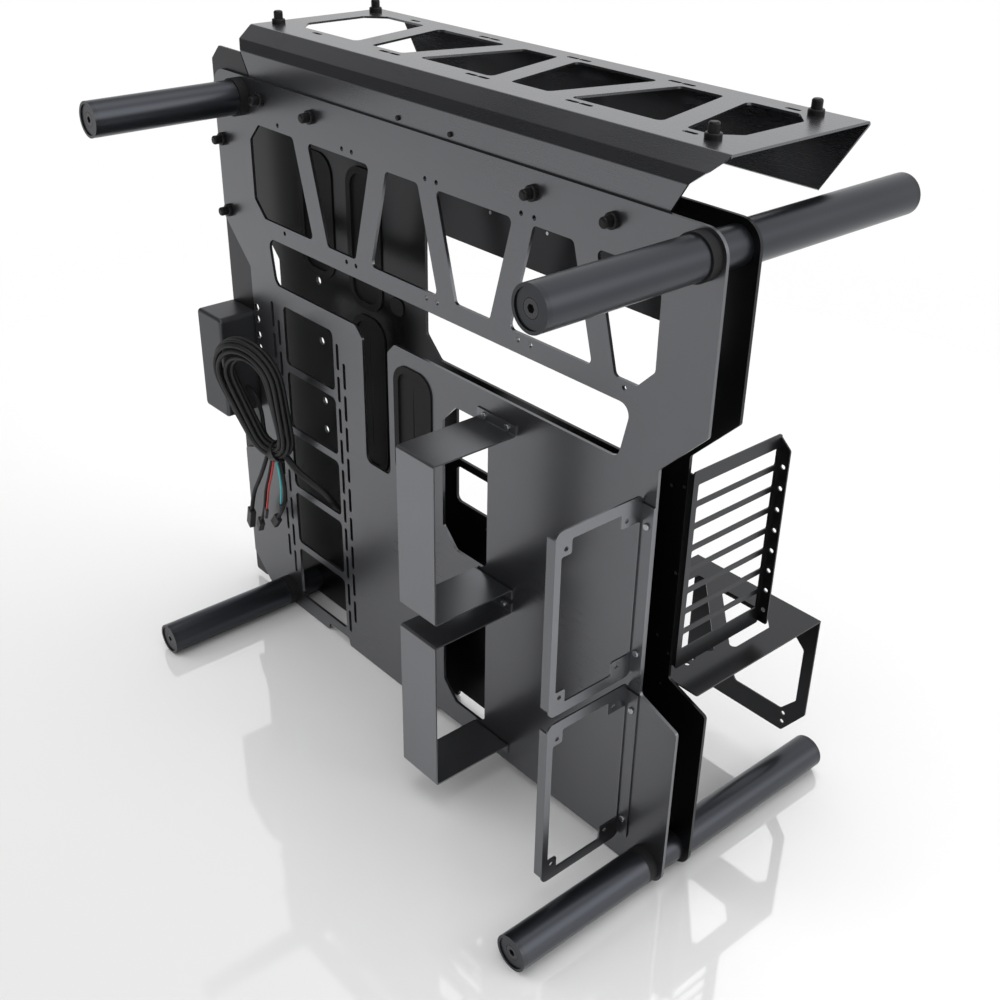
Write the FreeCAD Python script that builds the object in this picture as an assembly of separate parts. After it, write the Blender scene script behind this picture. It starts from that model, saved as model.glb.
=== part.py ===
import FreeCAD, Part
import math
import os

V = FreeCAD.Vector

# Open-frame computer case. Millimetres; x runs along the plates from the first fan hole,
# y runs back from the front plate's outer face, z runs up from the floor.

# Sheet thicknesses
PLATE_T = 3.0
SHEET_T = 2.0
BRACKET_T = 1.5

# Fan row on the front plate
FAN_COUNT = 4
FAN_PITCH = 120.0
FAN_HOLES = 105.0
FAN_HOLE_R = 2.2
FAN_TOP_Z = 559.0

# Outline of the two main plates
LEFT_MARGIN = 114.0
RIGHT_MARGIN = 84.0
TOP_MARGIN = 36.5
PLATE_FOOT = 1.0
PLATE_GAP = 32.0
PLATE_CORNER = 20.0
NOTCH_DEPTH = 43.0
NOTCH_TOP = 444.0
NOTCH_LOW = 173.0
NOTCH_RISE = 16.0
FOOT_NOTCH = 9.0

# Truss windows between slanting ribs
TRUSS_MARGIN = 6.0
TRUSS_LEFT = 52.0
TRUSS_RIGHT = 29.5
TRUSS_FIRST = 102.0
TRUSS_LAST = 65.5
TRUSS_RIBS = 5
RIB_WIDTH = 24.0
RIB_SLANT = 13.0
TRUSS_CHAMFER = 17.0
WINDOW_CORNER = 5.0

# Openings below the fan row
WEB = 12.0
LONG_HEIGHT = 48.0
LOWER_WEB = 19.0
CHANNEL_LEFT = 125.0
CHANNEL_WIDTH = 40.0
CHANNEL_DROP = 142.0
GRID_LEFT = -13.0
GRID_WIDTH = 88.0
GRID_ROWS = 5
GRID_BAR = 8.0
GRID_FOOT = 21.0
SLOT_WIDTH = 4.5
SLOT_LENGTH = 28.0
SLOT_GAP = 7.0
SLOT_STEP = 10.5
GROMMET_LEFT = 178.0
GROMMET_WIDTH = 50.0
GROMMET_HEIGHT = 116.0
GROMMET_CORNER = 16.0
GROMMET_SLIT = 1.6
CLIP_LEFT = 128.0
CLIP_WIDTH = 16.0
CLIP_HEIGHT = 13.0
CLIP_LIFT = 10.0
CLIP_LIP = 2.0
OCTAGON_LEFT = 246.0
OCTAGON_WIDTH = 63.5
OCTAGON_HEIGHT = 149.0
OCTAGON_CHAMFER = 19.0

# Cable windows in the back plate below the processor's opening
BOARD_WINDOW_LEFT = 224.0
BOARD_WINDOW_WIDTH = 76.0
BOARD_WINDOW_DROP = 28.0
BOARD_WINDOW_HIGH = 62.0
BOARD_WINDOW_WEB = 8.0
BOARD_WINDOW_LOW = 38.0

# Corner tubes
TUBE_R = 16.5
TUBE_WALL = 3.0
TUBE_INSET = 20.5
TOP_LEFT_INSET = 50.0
FOOT_LEFT_INSET = 75.0
FRONT_REACH = 158.0
BACK_REACH = 194.0
COLLAR_T = 10.0
COLLAR_LIP = 1.5
WASHER_T = 2.5
CAP_T = 4.0
CAP_SPIGOT = 10.0
CAP_RIM = 2.5
CAP_STEP = 1.2
ROD_R = 4.0
ROD_HEAD_R = 6.5
ROD_HEAD_T = 5.0
SPACER_R = 15.0

# Radiator shelf folded from one sheet
SHELF_LEFT_INSET = 35.0
SHELF_RIGHT_INSET = 26.0
SHELF_RISE = 41.5
SHELF_DEPTH = 183.0
SHELF_FLANGE = 30.0
SHELF_FRONT_RISE = 22.5
SHELF_BEND_RUN = 6.0
SHELF_BEND_RISE = 8.5
SHELF_SLOPE_RUN = 18.0
SHELF_LIP_RUN = 37.0
SHELF_LIP_DROP = 49.0
SHELF_TAPER = 30.0
LIP_START = 37.0
LIP_SLANT = 89.0
LIP_END = 14.0
SHELF_WINDOW_START = 55.0
SHELF_BACK_MARGIN = 28.0

# Power supply supports
PSU_HEIGHT = 150.0
PSU_DEPTH = 86.0
PSU_CLEAR = 2.0
PSU_LOW_Z = 109.0
PSU_PITCH = 180.0
STRAP_LEFT = 296.0
STRAP_WIDTH = 50.0
STRAP_FLANGE = 9.0
FRAME_SETBACK = 12.0
FRAME_BORDER = 9.0
FRAME_OUTER = 5.0
FRAME_RIM = 10.0
FRAME_SIDE_RIM = 6.5
FRAME_INNER_RIM = 3.0
FRAME_LIP = 9.5
FRAME_LUG = 6.0
FRAME_CORNER = 7.0
FRAME_SCREW_Z = 60.5
PSU_SCREW_DEPTH = 64.0
PSU_SCREW_HEIGHT = 138.0
PSU_SCREW_SHIFT = 5.0

# Expansion slot grille and graphics card shelf behind the back plate
SLOT_COUNT = 8
CARD_PITCH = 20.32
CARD_SLOT_HEIGHT = 15.4
CARD_SLOT_END = 3.0
GRILLE_DEPTH = 108.0
GRILLE_PAST_NOTCH = 4.0
GRILLE_LIFT = 12.44
GRILLE_RAIL = 12.5
GRILLE_MARGIN = 6.0
GRILLE_LIP = 12.0
GRILLE_FLANGE = 12.0
CARD_SHELF_Z = 187.0
CARD_SHELF_LENGTH = 148.0
CARD_SHELF_DEPTH = 169.0
CARD_SHELF_BORDER = 24.0
CARD_RIB = 14.0
CARD_FLANGE = 14.0
LEG_FOOT = 47.0
LEG_CHAMFER = 26.0

# Side panel with the input and output box
SIDE_OVERHANG = 4.0
SIDE_LAP = 13.0
SIDE_EAR = 20.5
EAR_GAP = 1.5
BOX_WIDTH = 48.0
BOX_HEIGHT = 113.5
BOX_DEPTH = 43.0
BOX_FOOT = 236.0
BOX_WALL = 2.0
BOX_CORNER = 5.0
BOX_EDGE = 3.5
BOX_GAP = 3.7
BUTTON_R = 6.0
RESET_R = 3.0
BUTTON_PROUD = 1.8
BUTTON_TRAVEL = 1.5
BUTTON_LIP = 2.0

# Fasteners
SCREW_R = 1.5
SCREW_HEAD_R = 2.9
SCREW_HEAD_T = 2.0
THUMB_R = 2.0
THUMB_FLANGE_R = 6.5
THUMB_FLANGE_T = 4.5
THUMB_KNOB_R = 4.4
THUMB_KNOB_T = 7.5
RIVET_HEAD_R = 2.2
TIE_HOLE_R = 4.2
STANDOFF_R = 3.0
STANDOFF_T = 6.5

# Clearances
FIT = 0.3
BUTTON_FIT = 0.2

# Cables
LEAD_R = 2.4
THICK_R = 3.6
SOUND_R = 1.8
THIN_R = 1.1
HANK_R = 10.0
HANK_TOP_R = 36.0
HANK_FOOT_R = 15.0
HANK_SPAN = 76.0
TIE_WIDTH = 8.0
TIE_T = 1.5

# Derived positions
BACK_FRONT = PLATE_T + PLATE_GAP
BACK_FACE = BACK_FRONT + PLATE_T
ROW_END = (FAN_COUNT - 1) * FAN_PITCH + FAN_HOLES
PLATE_LEFT = -LEFT_MARGIN
PLATE_RIGHT = ROW_END + RIGHT_MARGIN
PLATE_TOP = FAN_TOP_Z + TOP_MARGIN
SHELF_TOP = PLATE_TOP + SHELF_RISE
FAN_LOW_Z = FAN_TOP_Z - FAN_HOLES
LONG_TOP = FAN_LOW_Z - WEB
LONG_FOOT = LONG_TOP - LONG_HEIGHT
LOWER_TOP = LONG_FOOT - LOWER_WEB
NOTCH_LEFT = PLATE_LEFT + NOTCH_DEPTH
NOTCH_RIGHT = PLATE_RIGHT - NOTCH_DEPTH
TUBE_TOP_Z = PLATE_TOP - TUBE_INSET
CORNERS = {
    "top_left": (PLATE_LEFT + TOP_LEFT_INSET, TUBE_TOP_Z),
    "top_right": (PLATE_RIGHT - TUBE_INSET, TUBE_TOP_Z),
    "foot_left": (PLATE_LEFT + FOOT_LEFT_INSET, TUBE_R),
    "foot_right": (PLATE_RIGHT - TUBE_INSET, TUBE_R),
}
PSU_CENTRES = {"lower": PSU_LOW_Z, "upper": PSU_LOW_Z + PSU_PITCH}
PSU_HALF = PSU_HEIGHT / 2 + PSU_CLEAR
PSU_OUT = PSU_DEPTH + PSU_CLEAR
FRAME_X = NOTCH_RIGHT - FRAME_SETBACK
GRILLE_X = NOTCH_RIGHT + GRILLE_PAST_NOTCH
GRILLE_FOOT = CARD_SHELF_Z + GRILLE_LIFT
GRILLE_TOP = GRILLE_FOOT + GRILLE_RAIL * 2 + SLOT_COUNT * CARD_PITCH
BOX_RIGHT = NOTCH_LEFT - BOX_GAP
BOX_LEFT = BOX_RIGHT - BOX_WIDTH
BOX_TOP = BOX_FOOT + BOX_HEIGHT
BOX_FRONT = PLATE_T - BOX_DEPTH
SHELF_WINDOW_DEPTH = SHELF_DEPTH - SHELF_WINDOW_START - SHELF_BACK_MARGIN
SHELF_LEFT = PLATE_LEFT + SHELF_LEFT_INSET
SHELF_RIGHT = PLATE_RIGHT - SHELF_RIGHT_INSET


def on_xz(y):
    """Lay a drawing on the plane at depth y."""
    return lambda point: V(point.x, y, point.y)


def on_xy(z):
    """Lay a drawing on the plane at height z."""
    return lambda point: V(point.x, point.y, z)


def on_yz(x):
    """Lay a drawing on the plane at x."""
    return lambda point: V(x, point.x, point.y)


def rounded_face(points, place):
    """Face with straight sides and rounded corners, from (u, v, radius) points."""
    joints = []
    for index, (u, v, radius) in enumerate(points):
        here = V(u, v, 0)
        before = V(points[index - 1][0], points[index - 1][1], 0) - here
        following = points[(index + 1) % len(points)]
        after = V(following[0], following[1], 0) - here
        half = before.getAngle(after) / 2
        reach = min(radius / math.tan(half), 0.48 * before.Length, 0.48 * after.Length)
        start = here + V(before).normalize() * reach
        end = here + V(after).normalize() * reach
        middle = here
        if reach > 1e-6:
            inward = (start + end) * 0.5 - here
            middle = here + inward.normalize() * reach * (1 - math.sin(half)) / math.cos(half)
        joints.append((start, middle, end))
    edges = []
    for index, (start, middle, end) in enumerate(joints):
        if start.distanceToPoint(end) > 1e-6:
            edges.append(Part.Arc(place(start), place(middle), place(end)).toShape())
        following = joints[(index + 1) % len(joints)][0]
        if end.distanceToPoint(following) > 1e-6:
            edges.append(Part.makeLine(place(end), place(following)))
    return Part.Face(Part.Wire(edges))


def panel(points, place, along):
    """Flat sheet cut to a rounded outline."""
    return rounded_face(points, place).extrude(along)


def rect(u0, u1, v0, v1, radius):
    """Rounded rectangle."""
    return [(u0, v0, radius), (u1, v0, radius), (u1, v1, radius), (u0, v1, radius)]


def octagon(u0, u1, v0, v1, left, right, radius):
    """Rectangle with its left and right corners chamfered."""
    return [
        (u0 + left, v0, radius),
        (u1 - right, v0, radius),
        (u1, v0 + right, radius),
        (u1, v1 - right, radius),
        (u1 - right, v1, radius),
        (u0 + left, v1, radius),
        (u0, v1 - left, radius),
        (u0, v0 + left, radius),
    ]


def strip(path, thickness, radius):
    """Closed outline of a folded sheet whose thickness lies to the right of the path."""
    normals = []
    for (u0, v0), (u1, v1) in zip(path, path[1:]):
        normals.append(V(v1 - v0, u0 - u1, 0).normalize())
    outline = [(u, v, 0.0) for u, v in path]
    far_side = []
    for index, (u, v) in enumerate(path):
        first = normals[max(index - 1, 0)]
        second = normals[min(index, len(normals) - 1)]
        shift = (first + second) * (thickness / (1 + first.dot(second)))
        turn = first.x * second.y - first.y * second.x
        rounding = radius if abs(turn) > 0.05 else 0.0
        inner = rounding if turn < 0 else rounding + thickness
        outer = rounding + thickness if turn < 0 else rounding
        bent = rounding > 0
        outline[index] = (u, v, outer if bent else 0.0)
        far_side.append((u + shift.x, v + shift.y, inner if bent else 0.0))
    return outline + far_side[::-1]


def box(x0, x1, y0, y1, z0, z1):
    """Plain block between two corners."""
    return Part.makeBox(x1 - x0, y1 - y0, z1 - z0, V(x0, y0, z0))


def rod(x, y, z, radius, length, along):
    """Round bar from a base point."""
    return Part.makeCylinder(radius, length, V(x, y, z), along)


def hexagon(x, y, z, radius, length):
    """Six-sided bar along y."""
    points = []
    for index in range(6):
        angle = math.radians(60 * index)
        points.append((x + radius * math.cos(angle), z + radius * math.sin(angle), 0.0))
    return panel(points, on_xz(y), V(0, length, 0))


def truss(height):
    """Windows of the fan row between slanting ribs, with v from 0 to height."""
    left = -TRUSS_LEFT
    right = ROW_END + TRUSS_RIGHT
    pitch = (right - left - TRUSS_FIRST - TRUSS_LAST) / (TRUSS_RIBS - 1)
    ribs = []
    for index in range(TRUSS_RIBS):
        slant = RIB_SLANT if index % 2 == 0 else -RIB_SLANT
        ribs.append((left + TRUSS_FIRST + index * pitch, slant))
    half = RIB_WIDTH / 2
    cut = TRUSS_CHAMFER
    windows = []
    for index in range(TRUSS_RIBS + 1):
        corners = []
        if index == 0:
            corners += [(left, height - cut), (left, cut), (left + cut, 0)]
        else:
            centre, slant = ribs[index - 1]
            corners += [(centre - slant + half, height), (centre + slant + half, 0)]
        if index == TRUSS_RIBS:
            corners += [(right - cut, 0), (right, cut), (right, height - cut), (right - cut, height)]
        else:
            centre, slant = ribs[index]
            corners += [(centre + slant - half, 0), (centre - slant - half, height)]
        if index == 0:
            corners.append((left + cut, height))
        windows.append([(u, v, WINDOW_CORNER) for u, v in corners])
    return windows


def raised(points, rise):
    """Drawing moved along its second axis."""
    return [(u, v + rise, radius) for u, v, radius in points]


def plate_outline():
    """Outline shared by the front and back plates."""
    long_left = OCTAGON_LEFT - 20
    long_right = FRAME_X - 18
    foot = PLATE_FOOT
    step = PLATE_FOOT + FOOT_NOTCH
    grid_right = GRID_LEFT + GRID_WIDTH
    low = NOTCH_LOW
    rise = NOTCH_RISE
    return [
        (PLATE_LEFT + 37, foot, 4),
        (grid_right - 37, foot, 2),
        (grid_right - 35, step, 4),
        (grid_right + 3, step, 4),
        (grid_right + 5, foot, 2),
        (long_left, foot, 2),
        (long_left + 2, step, 4),
        (long_right - 2, step, 4),
        (long_right, foot, 2),
        (PLATE_RIGHT, foot, PLATE_CORNER - 4),
        (PLATE_RIGHT, low, 4),
        (NOTCH_RIGHT, low + rise, 4),
        (NOTCH_RIGHT, NOTCH_TOP - NOTCH_DEPTH, 4),
        (PLATE_RIGHT, NOTCH_TOP, 4),
        (PLATE_RIGHT, PLATE_TOP, PLATE_CORNER),
        (PLATE_LEFT, PLATE_TOP, PLATE_CORNER),
        (PLATE_LEFT, NOTCH_TOP, 4),
        (NOTCH_LEFT, NOTCH_TOP - NOTCH_DEPTH, 4),
        (NOTCH_LEFT, low + rise, 4),
        (PLATE_LEFT, low, 4),
        (PLATE_LEFT, PLATE_FOOT + 33, 4),
    ]


def pierce(plate, y, drawings, holes):
    """Cut drawn windows and (x, z, radius) holes through a plate at depth y."""
    through = V(0, PLATE_T + 2, 0)
    cutters = [panel(points, on_xz(y - 1), through) for points in drawings]
    cutters += [rod(x, y - 1, z, radius, PLATE_T + 2, V(0, 1, 0)) for x, z, radius in holes]
    return plate.cut(cutters)


def corner_holes():
    """Holes for the tie rods."""
    return [(x, z, ROD_R + FIT) for x, z in CORNERS.values()]


def shelf_screw_spots():
    """Places of the thumbscrews that hold the radiator shelf's flange."""
    z = PLATE_TOP - 17.5
    return [(FAN_PITCH * 0.25 * k - 2, z) for k in (-0.84, 2, 12, 14.85)]


def side_screw_spots():
    """Places of the thumbscrews that hold the side panel."""
    x = PLATE_LEFT + 10
    return [(x, FAN_TOP_Z - 33), (x + 1, NOTCH_TOP + 9)]


def tie_hole_spots():
    """Cable tie holes beside the notch."""
    x = NOTCH_LEFT + 6
    tops = (BOX_TOP + 8, BOX_TOP - 5.2, BOX_TOP - 23, BOX_TOP - 37.5)
    return [(x, z) for z in tops]


def frame_screw_spots():
    """Screws through the power supply frames' flanges."""
    spots = []
    for centre in PSU_CENTRES.values():
        for side in (-1, 1):
            spots.append((FRAME_X + FRAME_SETBACK / 2, centre + side * FRAME_SCREW_Z))
    return spots


def strap_screw_spots():
    """Screws through the power supply straps' flanges."""
    spots = []
    for centre in PSU_CENTRES.values():
        for side in (-1, 1):
            for share in (0.2, 0.8):
                x = STRAP_LEFT + STRAP_WIDTH * share
                spots.append((x, centre + side * (PSU_HALF + BRACKET_T + STRAP_FLANGE / 2)))
    return spots


def grille_screw_spots():
    """Screws through the slot grille's flange."""
    x = GRILLE_X - GRILLE_FLANGE / 2 - 1
    middle = (GRILLE_TOP + GRILLE_FOOT) / 2
    return [(x, GRILLE_TOP - 14), (x, middle), (x, GRILLE_FOOT + 14)]


def card_screw_spots():
    """Screws through the graphics card shelf's flange."""
    right = NOTCH_RIGHT - 8
    z = CARD_SHELF_Z - CARD_FLANGE / 2 - 1
    return [(right - step, z) for step in (0, 48, 96)]


def standoff_spots():
    """Places of the mainboard standoffs on the back plate."""
    spots = []
    for x in (NOTCH_RIGHT - 16, NOTCH_RIGHT - 168, NOTCH_RIGHT - 238):
        for z in (FAN_TOP_Z - 25, LOWER_TOP - 6, LOWER_TOP - 150):
            spots.append((x, z))
    return spots


def slot_columns():
    """Staggered columns of narrow slots beside the window grid."""
    pitch = SLOT_LENGTH + SLOT_GAP
    grid_right = GRID_LEFT + GRID_WIDTH
    low_left = 2 * TUBE_R + 15
    columns = [
        (GRID_LEFT - SLOT_STEP, low_left),
        (GRID_LEFT - 2 * SLOT_STEP, low_left + pitch / 2),
        (grid_right + SLOT_STEP * 0.65, GRID_FOOT),
        (grid_right + SLOT_STEP * 1.65, GRID_FOOT + pitch / 2),
    ]
    slots = []
    for x, foot in columns:
        count = int((LOWER_TOP - foot + SLOT_GAP) / pitch)
        for index in range(count):
            z = foot + index * pitch
            half = SLOT_WIDTH / 2
            slots.append(rect(x - half, x + half, z, z + SLOT_LENGTH, half * 0.98))
    return slots


def grid_windows():
    """Rows of cable windows at the left of the front plate."""
    pitch = (LOWER_TOP - GRID_FOOT + GRID_BAR) / GRID_ROWS
    right = GRID_LEFT + GRID_WIDTH
    windows = []
    for index in range(GRID_ROWS):
        foot = GRID_FOOT + index * pitch
        windows.append(rect(GRID_LEFT, right, foot, foot + pitch - GRID_BAR, 6))
    return windows


def long_opening():
    """Long slot below the fan row with a cable channel hanging from it."""
    channel_right = CHANNEL_LEFT + CHANNEL_WIDTH
    foot = LONG_TOP - CHANNEL_DROP - LONG_HEIGHT
    right = ROW_END + 9
    left = GRID_LEFT - 19
    return [
        (left, LONG_TOP, 10),
        (left + 8, LONG_FOOT, 10),
        (CHANNEL_LEFT - 11, LONG_FOOT, 5),
        (CHANNEL_LEFT, LONG_FOOT - 11, 5),
        (CHANNEL_LEFT, foot, 8),
        (channel_right, foot, 8),
        (channel_right, LONG_FOOT - 11, 5),
        (channel_right + 11, LONG_FOOT, 5),
        (right - 11, LONG_FOOT, 10),
        (right, LONG_TOP, 10),
    ]


def fan_holes():
    """Screw holes of the fan row."""
    holes = []
    for index in range(FAN_COUNT):
        for dx in (0, FAN_HOLES):
            for z in (FAN_TOP_Z, FAN_LOW_Z):
                holes.append((index * FAN_PITCH + dx, z, FAN_HOLE_R))
    return holes


def front_grommet_slot():
    """Outline of the front plate's grommet hole."""
    right = GROMMET_LEFT + GROMMET_WIDTH
    return rect(GROMMET_LEFT, right, LOWER_TOP - GROMMET_HEIGHT, LOWER_TOP, GROMMET_CORNER)


def front_plate():
    """Main plate that carries fans and power supplies."""
    plate = panel(plate_outline(), on_xz(0), V(0, PLATE_T, 0))
    foot = FAN_LOW_Z + TRUSS_MARGIN
    height = FAN_HOLES - 2 * TRUSS_MARGIN
    drawings = [raised(points, foot) for points in truss(height)]
    drawings += grid_windows() + slot_columns()
    drawings.append(long_opening())
    drawings.append(front_grommet_slot())
    for centre in PSU_CENTRES.values():
        low = centre - OCTAGON_HEIGHT / 2
        right = OCTAGON_LEFT + OCTAGON_WIDTH
        top = centre + OCTAGON_HEIGHT / 2
        drawings.append(octagon(OCTAGON_LEFT, right, low, top, OCTAGON_CHAMFER, 6, 4))
    holes = fan_holes() + corner_holes()
    holes += [(x, z, THUMB_R + FIT) for x, z in shelf_screw_spots() + side_screw_spots()]
    holes += [(x, z, TIE_HOLE_R) for x, z in tie_hole_spots()]
    holes += [(x, z, SCREW_R + FIT) for x, z in frame_screw_spots() + strap_screw_spots()]
    return pierce(plate, 0, drawings, holes)


def back_grommet_slots():
    """Outlines of the back plate's three grommet holes."""
    upper = rect(62, 110, LONG_FOOT + 2, FAN_TOP_Z - 30, 18)
    lower = rect(64, 112, LOWER_TOP - 156, LOWER_TOP + 8, 18)
    left = rect(-20, 32, LONG_FOOT + 14, FAN_TOP_Z - 30, 18)
    return {"upper": upper, "lower": lower, "left": left}


def cpu_opening():
    """Large opening behind the processor."""
    right = NOTCH_RIGHT - 34
    top = FAN_TOP_Z - 60
    foot = LOWER_TOP + 2
    return [(200, foot, 6), (right, foot, 6), (right, top, 6), (179, top, 6), (179, foot + 20, 6)]


def back_windows():
    """Pair of small windows seen through the front plate's upper octagon."""
    right = BOARD_WINDOW_LEFT + BOARD_WINDOW_WIDTH
    top = LOWER_TOP - BOARD_WINDOW_DROP
    foot = top - BOARD_WINDOW_HIGH
    low = foot - BOARD_WINDOW_WEB
    return [
        rect(BOARD_WINDOW_LEFT, right, low - BOARD_WINDOW_LOW, low, 6),
        rect(BOARD_WINDOW_LEFT, right, foot, top, 6),
    ]


def clip_hole(grow):
    """Outline of the cable clip's hole in the back plate, grown by a margin."""
    right = CLIP_LEFT + CLIP_WIDTH
    low = LONG_FOOT + CLIP_LIFT
    corner = 5 + grow
    return rect(CLIP_LEFT - grow, right + grow, low - grow, low + CLIP_HEIGHT + grow, corner)


def cable_clip():
    """Snap-in clip that closes its hole, with a lip on both faces."""
    lip_t = 1.5
    body = panel(clip_hole(-FIT), on_xz(BACK_FRONT - lip_t), V(0, PLATE_T + 2 * lip_t, 0))
    front = panel(clip_hole(CLIP_LIP), on_xz(BACK_FRONT - lip_t), V(0, lip_t, 0))
    back = panel(clip_hole(CLIP_LIP), on_xz(BACK_FACE), V(0, lip_t, 0))
    return body.fuse([front, back]).removeSplitter()


def back_plate():
    """Second plate that carries the mainboard side."""
    plate = panel(plate_outline(), on_xz(BACK_FRONT), V(0, PLATE_T, 0))
    drawings = list(back_grommet_slots().values()) + back_windows()
    drawings.append(cpu_opening())
    drawings.append(clip_hole(0))
    holes = corner_holes()
    holes += [(2, LOWER_TOP - drop, TIE_HOLE_R) for drop in (-23, 43, 112, 146)]
    holes += [(x, z, SCREW_R + FIT) for x, z in grille_screw_spots() + card_screw_spots()]
    holes += [(x, z, SCREW_R + FIT) for x, z in standoff_spots()]
    return pierce(plate, BACK_FRONT, drawings, holes)


def grommet(points, y, inset):
    """Rubber grommet with lips on both faces of a plate and a slit membrane."""
    us = [point[0] for point in points]
    vs = [point[1] for point in points]
    corner = points[0][2]
    lip = 3.0
    lip_t = 1.5

    def ring(grow, start, depth):
        outline = rect(min(us) - grow, max(us) + grow, min(vs) - grow, max(vs) + grow, corner + grow)
        return panel(outline, on_xz(start), V(0, depth, 0))

    body = ring(lip, y - lip_t, lip_t)
    body = body.fuse([ring(-FIT, y - lip_t, PLATE_T + 2 * lip_t), ring(lip, y + PLATE_T, lip_t)])
    body = body.cut([
        ring(-inset, y - lip_t - 1, lip_t + 1 + PLATE_T / 2 - 0.75),
        ring(-inset, y + PLATE_T / 2 + 0.75, PLATE_T + lip_t),
    ])
    centre = (min(us) + max(us)) / 2
    low = min(vs) + inset + 8
    high = max(vs) - inset - 8
    middle = (low + high) / 2
    slit = GROMMET_SLIT / 2
    lens = [(centre, low, 0), (centre + slit, middle, 40), (centre, high, 0), (centre - slit, middle, 40)]
    return body.cut(panel(lens, on_xz(y - 5), V(0, PLATE_T + 10, 0))).removeSplitter()


def radiator_shelf():
    """Folded shelf with its front flange, sloped front, top and turned-in back lip."""
    front = PLATE_T
    bend_z = PLATE_TOP + SHELF_FRONT_RISE
    bend_y = front + SHELF_BEND_RUN
    top_y = bend_y + SHELF_SLOPE_RUN
    back_y = front + SHELF_DEPTH
    path = [
        (front, PLATE_TOP - SHELF_FLANGE),
        (front, bend_z),
        (bend_y, bend_z + SHELF_BEND_RISE),
        (top_y, SHELF_TOP),
        (back_y, SHELF_TOP),
        (back_y - SHELF_LIP_RUN, SHELF_TOP - SHELF_LIP_DROP),
    ]
    length = SHELF_RIGHT - SHELF_LEFT
    shelf = panel(strip(path, SHEET_T, 1.0), on_yz(SHELF_LEFT), V(length, 0, 0))
    cutters = []
    lip_z = SHELF_TOP - SHELF_LIP_DROP
    for end, side in ((SHELF_LEFT, 1), (SHELF_RIGHT, -1)):
        out = end - side * 5
        seam = end + side * SHELF_TAPER
        near = [
            (out, SHELF_TOP - 1, 0),
            (end, SHELF_TOP - 1, 0),
            (end + side * SHELF_TAPER * 0.2, bend_z + SHELF_BEND_RISE, 0),
            (end + side * SHELF_TAPER * 0.53, bend_z, 0),
            (seam, PLATE_TOP, 0),
            (seam + side * 8, PLATE_TOP - 2, 0),
            (seam + side * 8, PLATE_TOP - SHELF_FLANGE - 1, 0),
            (out, PLATE_TOP - SHELF_FLANGE - 1, 0),
        ]
        cutters.append(panel(near, on_xz(front - 1), V(0, top_y - front, 0)))
        lip_start = end + LIP_START if side > 0 else end
        lip_end = lip_start + LIP_SLANT if side > 0 else end - LIP_END
        far = [
            (out, SHELF_TOP - 3, 0),
            (lip_start, SHELF_TOP - 3, 0),
            (lip_end, lip_z - 1, 0),
            (out, lip_z - 1, 0),
        ]
        cutters.append(panel(far, on_xz(top_y + 1), V(0, SHELF_DEPTH, 0)))
    drop = V(0, 0, -SHEET_T - 2)
    for points in truss(SHELF_WINDOW_DEPTH):
        moved = raised(points, front + SHELF_WINDOW_START)
        cutters.append(panel(moved, on_xy(SHELF_TOP + 1), drop))
    for index in range(FAN_COUNT):
        for dx in (0, FAN_HOLES):
            for y in shelf_slot_rows():
                x = index * FAN_PITCH + dx
                slot = rect(x - 7, x + 7, y - FAN_HOLE_R, y + FAN_HOLE_R, FAN_HOLE_R * 0.98)
                cutters.append(panel(slot, on_xy(SHELF_TOP + 1), drop))
    for x, z in shelf_screw_spots():
        cutters.append(rod(x, front - 1, z, THUMB_R + FIT, SHEET_T + 2, V(0, 1, 0)))
    for x, y in shelf_thumb_spots():
        cutters.append(rod(x, y, SHELF_TOP + 1, THUMB_R + FIT, SHEET_T + 2, V(0, 0, -1)))
    for x, z in rivet_spots():
        cutters.append(rod(x, front - 1, z, SCREW_R + FIT, SHEET_T + 2, V(0, 1, 0)))
    return shelf.cut(cutters)


def shelf_slot_rows():
    """Depths of the two rows of radiator slots."""
    front = PLATE_T + SHELF_WINDOW_START
    return (front - 8, front + SHELF_WINDOW_DEPTH + 8)


def shelf_thumb_spots():
    """Places of the thumbscrews on top of the shelf."""
    spots = []
    for x in (SHELF_LEFT + 13, SHELF_RIGHT - 37):
        for y in shelf_slot_rows():
            spots.append((x, y))
    return spots


def rivet_spots():
    """Rivets through the shelf's front strip."""
    z = PLATE_TOP + 5.5
    return [(FAN_PITCH * 1.55, z), (FAN_PITCH * 2.125, z)]


def side_panel():
    """Sheet behind the front plate's left edge that carries the box."""
    left = PLATE_LEFT - SIDE_OVERHANG
    right = NOTCH_LEFT + SIDE_LAP
    tube_x, tube_z = CORNERS["top_left"]
    clear = tube_x - SPACER_R - 4
    ear_right = SHELF_LEFT + SHELF_TAPER - EAR_GAP
    ear_lean = SHELF_TAPER * 0.47 * SIDE_EAR / SHELF_FRONT_RISE
    shoulder = tube_z - SPACER_R - 16
    top = PLATE_TOP + SIDE_EAR
    points = [
        (left, 6, 3),
        (left + 24, 6, 3),
        (left + 24, 22, 3),
        (right, 22, 3),
        (right, shoulder, 4),
        (clear, shoulder + 12, 4),
        (clear, PLATE_TOP - 1.5, 2),
        (ear_right, PLATE_TOP - 1.5, 1),
        (ear_right - ear_lean, top, 1),
        (left + 15, top, 3),
        (left, top - 14, 3),
    ]
    sheet = panel(points, on_xz(PLATE_T), V(0, SHEET_T, 0))
    holes = [(x, z, THUMB_R + FIT) for x, z in side_screw_spots()]
    holes += [(x, z, SCREW_R + FIT) for x, z in box_screw_spots()]
    spots = tie_hole_spots()
    low = spots[-1][1] - TIE_HOLE_R * 3
    high = spots[0][1] + TIE_HOLE_R * 2
    relief = rect(spots[0][0] - TIE_HOLE_R * 3, right + 10, low, high, 3)
    return pierce(sheet, PLATE_T, [relief], holes)


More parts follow.
